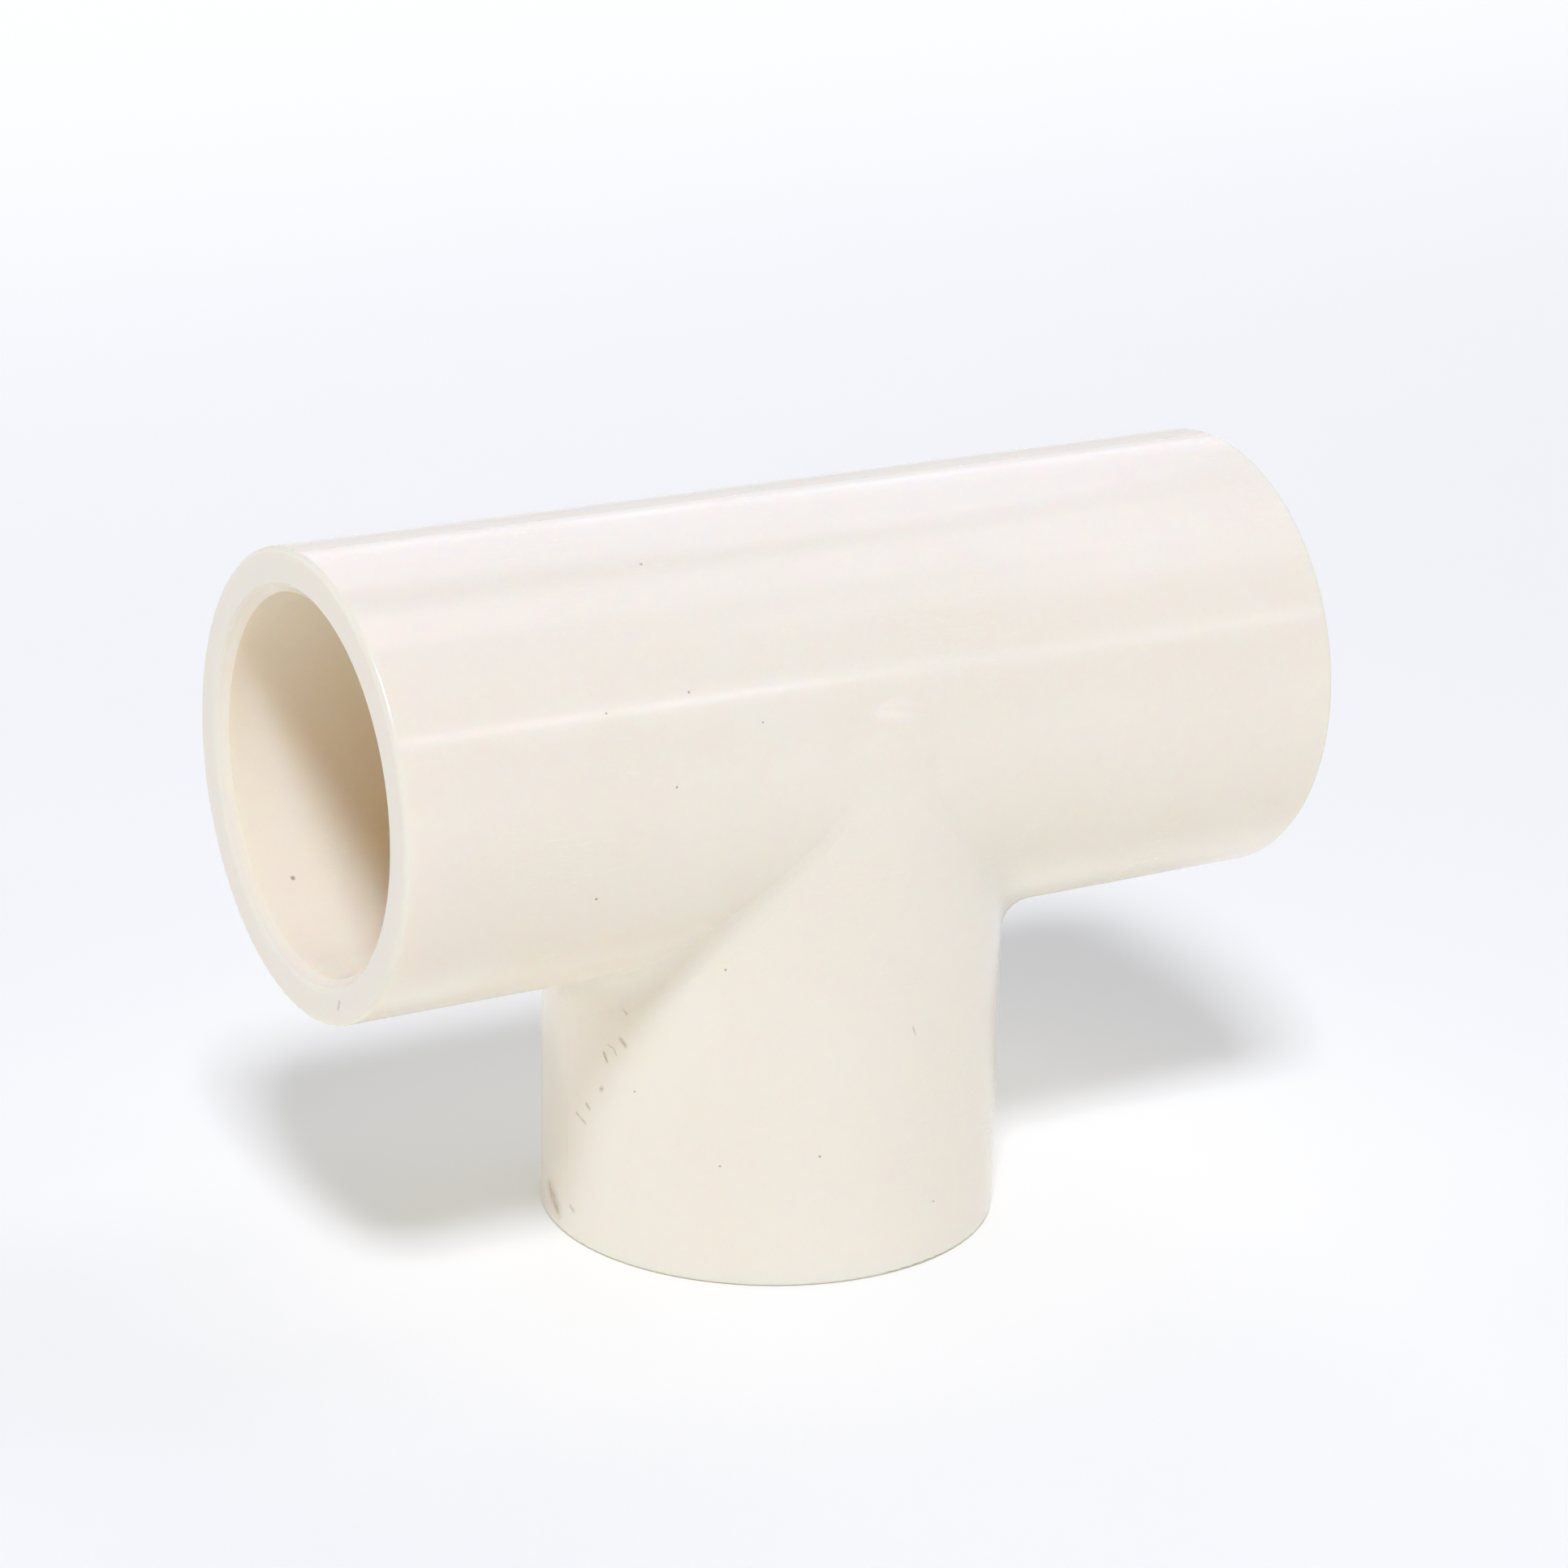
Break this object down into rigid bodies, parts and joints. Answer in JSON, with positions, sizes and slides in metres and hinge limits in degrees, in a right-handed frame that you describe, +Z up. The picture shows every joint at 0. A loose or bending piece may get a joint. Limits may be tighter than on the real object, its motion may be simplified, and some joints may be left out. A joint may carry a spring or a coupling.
{
  "type": "pipe tee fitting",
  "caption": "Equal pipe tee in ivory plastic: a plain straight run and a branch at right angles, with a smooth solvent-weld socket and a chamfered lead-in at each end.",
  "frame": {"origin": "centre of the branch mouth plane, on the branch axis; the tee stands on its branch mouth", "axes": "+X along the run towards the right-hand socket, +Z up along the branch axis from the branch mouth to the run, +Y across, away from the front"},
  "size_m": [0.0628, 0.028, 0.0452],
  "materials": {
    "tee_body": "glossy ivory moulded CPVC, slightly translucent"
  },
  "bodies": {
    "root": {"tee_body": "tee_body"}
  },
  "joints": []
}
